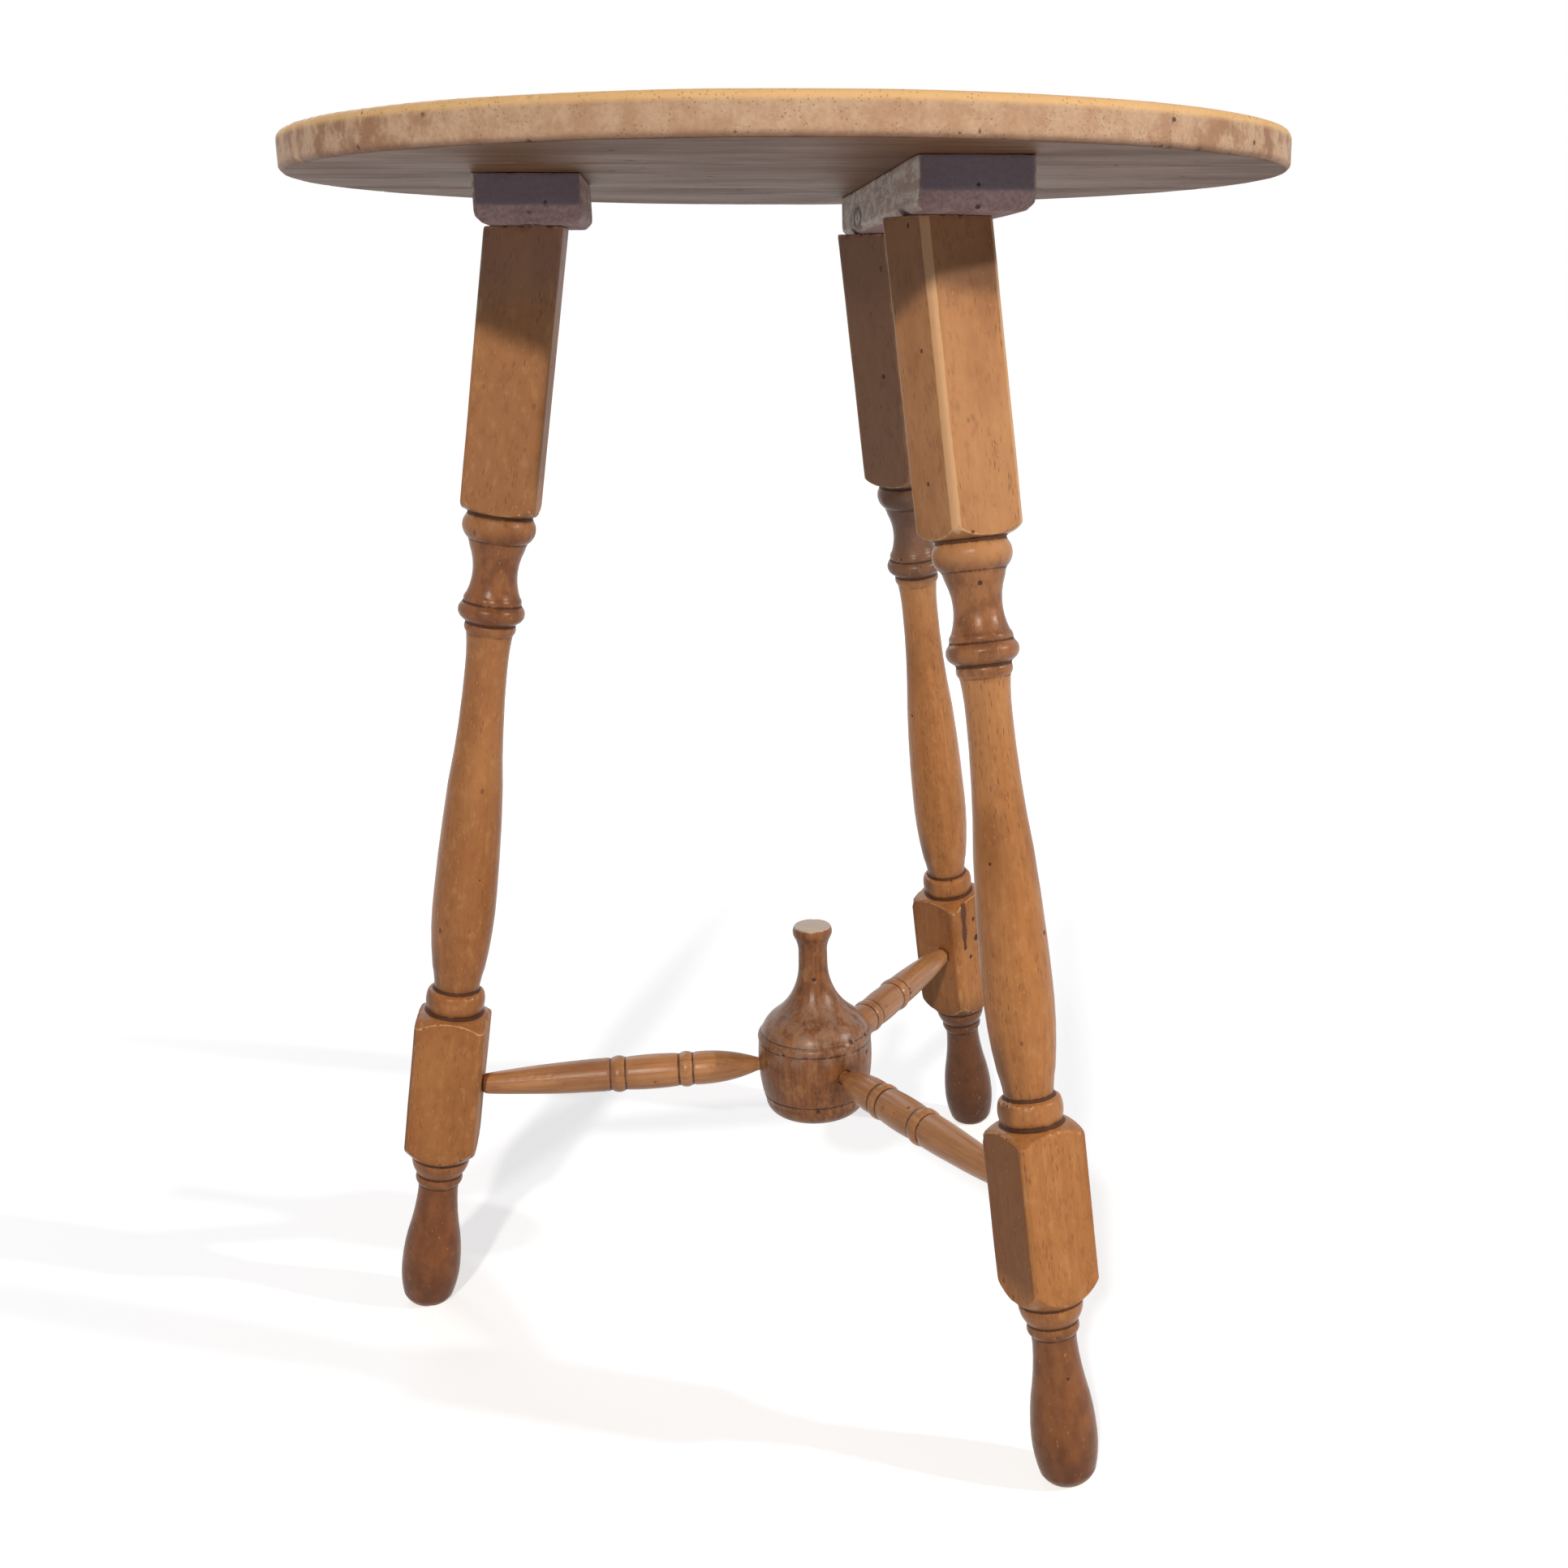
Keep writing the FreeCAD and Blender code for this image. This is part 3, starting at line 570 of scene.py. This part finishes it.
def neighbours(mesh):
    """The two ends of every edge and how many edges meet at each point."""
    ends = np.empty(len(mesh.edges) * 2, dtype=np.int64)
    mesh.edges.foreach_get("vertices", ends)
    ends = ends.reshape(-1, 2)
    count = np.bincount(ends.ravel(), minlength=len(mesh.vertices)).astype(float)
    return ends, count


def smoothed(points, ends, count, rounds):
    """Points moved halfway to the mean of their neighbours, round after round."""
    points = points.copy()
    for _ in range(rounds):
        for axis in range(3):
            column = points[:, axis]
            total = np.bincount(ends[:, 0], column[ends[:, 1]], len(points))
            total += np.bincount(ends[:, 1], column[ends[:, 0]], len(points))
            points[:, axis] = 0.5 * column + 0.5 * total / count
    return points


def wave_field(points, rng, pitch):
    """Gentle uneven swell over a piece: a sum of slow waves, from about -1 to 1."""
    total = np.zeros(len(points))
    for _ in range(SWELL_WAVES):
        direction = np.array([rng.gauss(0, 1) for _ in range(3)])
        direction *= rng.uniform(0.5, 1.6) * math.tau / pitch / np.linalg.norm(direction)
        total += np.sin(points @ direction + rng.uniform(0, math.tau))
    return total / math.sqrt(SWELL_WAVES)


def applied(name, mesh, kind, **settings):
    """The mesh that a modifier makes of a mesh, which it takes the place of."""
    holder = bpy.data.objects.new(name, mesh)
    bpy.context.scene.collection.objects.link(holder)
    modifier = holder.modifiers.new(name, kind)
    for setting, value in settings.items():
        setattr(modifier, setting, value)
    depsgraph = bpy.context.evaluated_depsgraph_get()
    result = bpy.data.meshes.new_from_object(holder.evaluated_get(depsgraph))
    bpy.data.objects.remove(holder)
    bpy.data.meshes.remove(mesh)
    return result


def close_grid(node, turn, grid):
    """An even closed mesh of a CAD node, gridded along the piece's own axes."""
    source = bmesh.new()
    source.from_mesh(frame["nodes"][node].data)
    bmesh.ops.remove_doubles(source, verts=source.verts, dist=0.01 * MILLIMETRE)
    bmesh.ops.transform(source, matrix=turn.inverted(), verts=source.verts)
    mesh = bpy.data.meshes.new(node + "_solid")
    source.to_mesh(mesh)
    source.free()
    return applied(node + "_solid", mesh, "REMESH", mode="VOXEL", voxel_size=grid)


def thinned(name, mesh, limit):
    """The mesh with its flats thinned out until it has at most so many triangles."""
    mesh.calc_loop_triangles()
    return applied(name, mesh, "DECIMATE", ratio=min(1.0, limit / len(mesh.loop_triangles)))


def recessed(points):
    """How far each point of a turned piece lies below the swell of the turning to either side of it."""
    reach = np.hypot(points[:, 0], points[:, 1])
    row = ((points[:, 2] - points[:, 2].min()) / (TURNING_ROW * MILLIMETRE)).astype(int)
    profile = np.full(row.max() + 1, reach.max())
    np.minimum.at(profile, row, reach)
    profile = np.pad(profile, len(TURNING_SWELL) // 2, mode="edge")
    swell = np.convolve(profile, TURNING_SWELL / TURNING_SWELL.sum(), mode="valid")
    return np.clip((swell[row] - reach) / (RECESS_DEPTH * MILLIMETRE), 0, 1)


def press_dents(points, normals, ridge, rng, dents):
    """Small knocks, mostly on the arrises."""
    edges = np.flatnonzero(ridge > DENT_ARRIS)
    for _ in range(dents):
        on_edge = len(edges) and rng.random() < DENTS_ON_ARRISES
        centre = edges[rng.randrange(len(edges))] if on_edge else rng.randrange(len(points))
        radius = rng.uniform(*DENT_RADIUS) * MILLIMETRE
        depth = rng.uniform(*DENT_DEPTH) * MILLIMETRE
        gap = np.linalg.norm(points - points[centre], axis=1) / radius
        near = gap < 1
        points[near] -= normals[centre] * (depth * (1 - gap[near] ** 2) ** 2)[:, None]


def gouged(points, normals, turn, gouges):
    """Presses worm-eaten hollows into a piece and marks how deep each point lies in one."""
    depth = np.zeros(len(points))
    for place, radius in gouges:
        centre = np.array(turn.inverted() @ place)
        gap = np.linalg.norm(points - centre, axis=1) / (WORM_SPREAD * radius * MILLIMETRE)
        depth = np.maximum(depth, np.clip(1 - gap ** 2, 0, 1))
    points -= normals * (depth * GOUGE_DEPTH * MILLIMETRE)[:, None]
    return smooth_step(depth, *GOUGE_STAIN)


def worm_run():
    """Middle and radius of each hollow: a run that swells twice on its way down, then the loose holes."""
    hollows = []
    for share in np.linspace(0, 1, WORM_COUNT):
        swell = WORM_SWELL * math.cos((share - WORM_FIRST_SWELL) * math.tau / WORM_SWELL_STEP)
        radius = (WORM_RADIUS + swell) * (1 - WORM_TAPER * share ** 3)
        hollows.append((WORM_TOP.lerp(WORM_FOOT, share), radius))
    return hollows + WORM_HOLES


def near_flat(distance, band):
    """A mask from a distance to a leg's axis, full nearest to its flats."""
    return smooth_step(distance, LEG_STOCK / 2 - band[0], LEG_STOCK / 2 - band[1])


def worn_piece(name, node, turn, make, finish, rng, marks=None, gouges=(), upper_rub_and_highlight=0.0):
    """A CAD node as an old piece: arrises rubbed unevenly, dents pressed in, grain laid along its length."""
    grid = make.grid * MILLIMETRE
    mesh = close_grid(node, turn, grid)
    ends, count = neighbours(mesh)
    points = smoothed(read(mesh.vertices, "co", 3), ends, count, 1)
    normals = read(mesh.vertices, "normal", 3)
    rounds = int(SOFTENING_ROUNDS * (MILLIMETRE / grid) ** 2) + 1
    soft = smoothed(points, ends, count, rounds)
    ridge = np.clip(np.einsum("ij,ij->i", points - soft, normals) / (SHARP_ARRIS * MILLIMETRE), 0, 1)
    rubbing = np.clip(0.4 + 0.5 * wave_field(points, rng, RUB_PITCH), 0, 1)
    points += (soft - points) * (rubbing * ridge)[:, None]
    swell = 0.5 + 0.5 * np.clip(wave_field(points, rng, SWELL_PITCH), -1, 1)
    points -= normals * swell[:, None] * SWELL_DEPTH * MILLIMETRE
    press_dents(points, normals, ridge, rng, make.dents)
    store(mesh, "split", gouged(points, normals, turn, gouges))
    mesh.vertices.foreach_set("co", points.ravel())
    mesh.update()
    soft = smoothed(points, ends, count, rounds)
    proud = np.einsum("ij,ij->i", points - soft, read(mesh.vertices, "normal", 3)) / MILLIMETRE
    ridge = np.clip((proud - RIDGE_START) / RIDGE_SPAN, 0, 1)
    # Legs: arrises beside the flats are marked for the pale rub; on the upper blocks this is also a painted
    # highlight.
    if upper_rub_and_highlight:
        sides = np.abs(points[:, :2])
        rubbing = np.where(points[:, 2] > UPPER_BLOCK_FROM, upper_rub_and_highlight, LOWER_RUB)
        ridge = np.maximum(ridge, near_flat(sides.min(axis=1), ARRIS_BAND) * rubbing)
        store(mesh, "flat", near_flat(sides.max(axis=1), FLAT_BAND))
    store(mesh, "ridge", ridge)
    store(mesh, "hollow", np.clip((-proud - HOLLOW_START) / HOLLOW_SPAN, 0, 1))
    store(mesh, "recess", recessed(points))
    offset = np.array([rng.uniform(-1, 1) for _ in range(3)])
    store(mesh, "grain_place", points + offset, "FLOAT_VECTOR")
    mesh = thinned(name + "_dense", mesh, make.triangles)
    mesh.name = name
    mesh.transform(turn)
    world = read(mesh.vertices, "co", 3)
    low, high = (np.array(corner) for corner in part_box(node))
    mesh.vertices.foreach_set("co", np.clip(world, low, high).ravel())
    mesh.update()
    for label, rule in (marks or {}).items():
        store(mesh, label, rule(world, read(mesh.vertices, "normal", 3)))
    mesh.shade_smooth()
    mesh.materials.clear()
    mesh.materials.append(finish)
    piece = bpy.data.objects.new(name, mesh)
    bpy.context.scene.collection.objects.link(piece)
    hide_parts(node)
    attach(piece, "root")


# How each piece lies


def along(start, end, outward):
    """A turn that lays local Z from start to end, with local X towards outward, at start."""
    length = (end - start).normalized()
    side = (outward - length * outward.dot(length)).normalized()
    across = length.cross(side)
    turn = Matrix((side, across, length)).transposed().to_4x4()
    return Matrix.Translation(start) @ turn


def leg_turn(side):
    """Local Z runs from the middle of the foot to the middle of the tenon's end, X square to a flat."""
    foot = MOUNTS["foot_" + side]
    mesh = frame["nodes"]["leg_" + side].data
    points = read(mesh.vertices, "co", 3)
    head = Vector(points[points[:, 2] > points[:, 2].max() - TENON_SLICE].mean(axis=0))
    turn = along(foot, head, Vector((foot.x, foot.y, 0)))
    normals = read(mesh.polygons, "normal", 3) @ np.array(turn.to_3x3())
    areas = read(mesh.polygons, "area", 1)[:, 0] * (np.abs(normals[:, 2]) < LEVEL_LIMIT)
    quarter = np.sum(areas * (normals[:, 0] + 1j * normals[:, 1]) ** 4)
    return turn @ Matrix.Rotation(np.angle(quarter) / 4, 4, "Z")


def stretcher_turn(side):
    """Local Z runs from the end in the leg to the end in the hub."""
    points = read(frame["nodes"]["stretcher_" + side].data.vertices, "co", 3)
    reach = np.hypot(points[:, 0], points[:, 1])
    inner = Vector(points[reach < reach.min() + STRETCHER_SLICE].mean(axis=0))
    outer = Vector(points[reach > reach.max() - STRETCHER_SLICE].mean(axis=0))
    return along(outer, inner, UP)


def hub_turn():
    """Local Z runs up the middle of the hub from its foot."""
    low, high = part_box("hub")
    middle = (Vector(low) + Vector(high)) / 2
    return Matrix.Translation((middle.x, middle.y, low[2]))


# Marks, from the points of a piece and the ways they face


def left_face_shade(points, normals):
    """Painted shade on the left-facing faces of the legs' lower blocks."""
    height = points[:, 2]
    band = smooth_step(height, *BLOCK_SHADE_UP) * smooth_step(height, *BLOCK_SHADE_DOWN)
    return smooth_step(-normals[:, 0], *FACING_SHADE) * band


def board_marks():
    """The rules for the rim of the top, its pale brow, partly a painted highlight, its darker hem and the
    raw underside.
    """
    low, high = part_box("top_board_middle")
    radius, underside, face = -low[0], low[2], high[2]

    def edge_band(points, band):
        return smooth_step(np.hypot(points[:, 0], points[:, 1]), radius - band[0], radius - band[1])

    def rim(points, normals):
        return edge_band(points, RIM_IN)

    # Pale brow: wear and a painted highlight along the rim's rounded upper edge.
    def brow(points, normals):
        near_face = smooth_step(points[:, 2], face - BROW_DOWN[0], face - BROW_DOWN[1])
        return near_face * edge_band(points, BROW_IN)

    def hem(points, normals):
        return smooth_step(points[:, 2] - underside, *HEM_UP)

    def under(points, normals):
        return smooth_step(-normals[:, 2], *FACING_DOWN) * smooth_step(points[:, 2] - underside, *UNDER_UP)

    return {"rim": rim, "brow": brow, "hem": hem, "under": under}


def flank(points, normals):
    """The long sides of the battens, weaker on the right."""
    return smooth_step(-normals[:, 0], *FACING) + OUTER_FLANK * smooth_step(normals[:, 0], *FACING)


def butt(points, normals):
    """The sawn ends of the battens."""
    return smooth_step(np.abs(normals[:, 1]), *FACING_END)


def knot(points, normals):
    """Dark rings of a knot on the inner side of the right batten, drawn out along the grain."""
    across = (points[:, 1] - KNOT_MIDDLE[0]) / KNOT_REACH[0]
    up = (points[:, 2] - KNOT_MIDDLE[1]) / KNOT_REACH[1]
    reach = np.hypot(across, up)
    rings = 0.5 + 0.5 * np.cos(reach * KNOT_RINGS * math.tau)
    inner_side = smooth_step(-normals[:, 0], *FACING) * (points[:, 0] > 0)
    return rings * smooth_step(reach, *KNOT_FADE) * inner_side


def build_pieces():
    """Every wooden node as a worn piece, in a fixed order for the random draws, and iron on the screws."""
    rng = random.Random(WEAR_SEED)
    leg, rod = leg_finish(), stretcher_finish()
    for side in ("left", "front", "back"):
        worn_piece("worn_leg_" + side, "leg_" + side, leg_turn(side), LEG_MAKE, leg, rng,
                   marks={"left_face_shade": left_face_shade}, gouges=worm_run() if side == "back" else (),
                   upper_rub_and_highlight=UPPER_RUB_AND_HIGHLIGHT[side])
        worn_piece("worn_stretcher_" + side, "stretcher_" + side, stretcher_turn(side), STRETCHER_MAKE,
                   rod, rng)
    worn_piece("worn_hub", "hub", hub_turn(), HUB_MAKE, hub_finish(), rng)
    along_x = Matrix(((0, 0, 1, 0), (1, 0, 0, 0), (0, 1, 0, 0), (0, 0, 0, 1)))
    along_y = Matrix(((1, 0, 0, 0), (0, 0, 1, 0), (0, -1, 0, 0), (0, 0, 0, 1)))
    board, batten = board_finish(), batten_finish()
    for place in ("front", "middle", "back"):
        worn_piece("worn_board_" + place, "top_board_" + place, along_x, BOARD_MAKE, board, rng,
                   marks=board_marks())
    for side in ("left", "right"):
        worn_piece("worn_batten_" + side, "batten_" + side, along_y, BATTEN_MAKE, batten, rng,
                   marks={"flank": flank, "butt": butt, "knot": knot})
    iron = iron_finish()
    for slot in frame["nodes"]["batten_screws"].material_slots:
        slot.material = iron


# Studio


def seen_directly(nodes):
    """One where the camera sees a surface, also in a reflection or through glass."""
    path = nodes.add("LightPath")
    seen = nodes.math("MAXIMUM", path.outputs["Is Camera Ray"], path.outputs["Is Glossy Ray"])
    return nodes.math("MAXIMUM", seen, path.outputs["Is Transmission Ray"])


def build_stage():
    """A pale floor that fades to the white of the backdrop away from the table."""
    floor_mesh = bpy.data.meshes.new("studio_floor")
    floor_form = bmesh.new()
    bmesh.ops.create_grid(floor_form, x_segments=1, y_segments=1, size=FLOOR_SIZE)
    floor_form.to_mesh(floor_mesh)
    floor_form.free()
    floor = bpy.data.objects.new("studio_floor", floor_mesh)
    bpy.context.scene.collection.objects.link(floor)
    paper = bpy.data.materials.new("floor_paper")
    paper.use_nodes = True
    nodes = Nodes(paper.node_tree)
    shader = paper.node_tree.nodes["Principled BSDF"]
    shader.inputs["Base Color"].default_value = (0.64, 0.70, 0.78, 1)
    shader.inputs["Roughness"].default_value = 0.9
    shader.inputs["Specular IOR Level"].default_value = 0.1
    shader.inputs["Emission Color"].default_value = (1.0, 0.94, 0.86, 1)
    distance = nodes.add("VectorMath", operation="LENGTH")
    nodes.join(nodes.add("TexCoord").outputs["Object"], distance.inputs[0])
    fade = nodes.span(distance.outputs["Value"], *FLOOR_FADE, *FLOOR_GLOW)
    nodes.join(nodes.times(fade, seen_directly(nodes)), shader.inputs["Emission Strength"])
    floor_mesh.materials.append(paper)


def area_light(name, place, size, power, colour):
    """A round lamp that points at the table."""
    data = bpy.data.lights.new(name, "AREA")
    data.shape = "DISK"
    data.size = size
    data.energy = power
    data.color = colour
    lamp = bpy.data.objects.new(name, data)
    lamp.location = place
    lamp.rotation_euler = (LAMP_AIM - place).to_track_quat("-Z", "Y").to_euler()
    bpy.context.scene.collection.objects.link(lamp)


def build_light():
    """A warm window in front, a weaker one on the right, soft light from behind and a cool sky."""
    for name, azimuth, elevation, distance, size, power, colour in LAMPS:
        turn, rise = math.radians(azimuth), math.radians(elevation)
        level = distance * math.cos(rise)
        height = LAMP_AIM.z + distance * math.sin(rise)
        place = Vector((level * math.cos(turn), level * math.sin(turn), height))
        area_light(name, place, size, power, colour)
    world = bpy.data.worlds.new("studio")
    bpy.context.scene.world = world
    world.use_nodes = True
    nodes = Nodes(world.node_tree)
    background = world.node_tree.nodes["Background"]
    seen = seen_directly(nodes)
    nodes.join(nodes.mix(seen, SKY_COLOUR, WHITE), background.inputs["Color"])
    nodes.join(nodes.span(seen, 0, 1, SKY_STRENGTH, 1.0), background.inputs["Strength"])


def build_camera():
    """The camera at the photograph's viewing angle."""
    data = bpy.data.cameras.new("photo_camera")
    data.lens = CAMERA_LENS
    data.sensor_width = CAMERA_SENSOR
    data.shift_x = CAMERA_SHIFT
    data.clip_start = CAMERA_NEAR
    camera = bpy.data.objects.new("photo_camera", data)
    heading, pitch, roll = (math.radians(angle) for angle in (CAMERA_HEADING, CAMERA_PITCH, CAMERA_ROLL))
    level = math.cos(pitch)
    ahead = Vector((math.sin(heading) * level, math.cos(heading) * level, -math.sin(pitch)))
    right = Vector((math.cos(heading), -math.sin(heading), 0))
    above = right.cross(ahead)
    rolled = right * math.cos(roll) + above * math.sin(roll)
    turn = Matrix((rolled, rolled.cross(ahead), -ahead)).transposed().to_4x4()
    camera.matrix_world = Matrix.Translation(CAMERA_PLACE) @ turn
    bpy.context.scene.collection.objects.link(camera)
    bpy.context.scene.camera = camera


build_pieces()
build_stage()
build_light()
build_camera()
bpy.context.scene.view_settings.view_transform = "Standard"
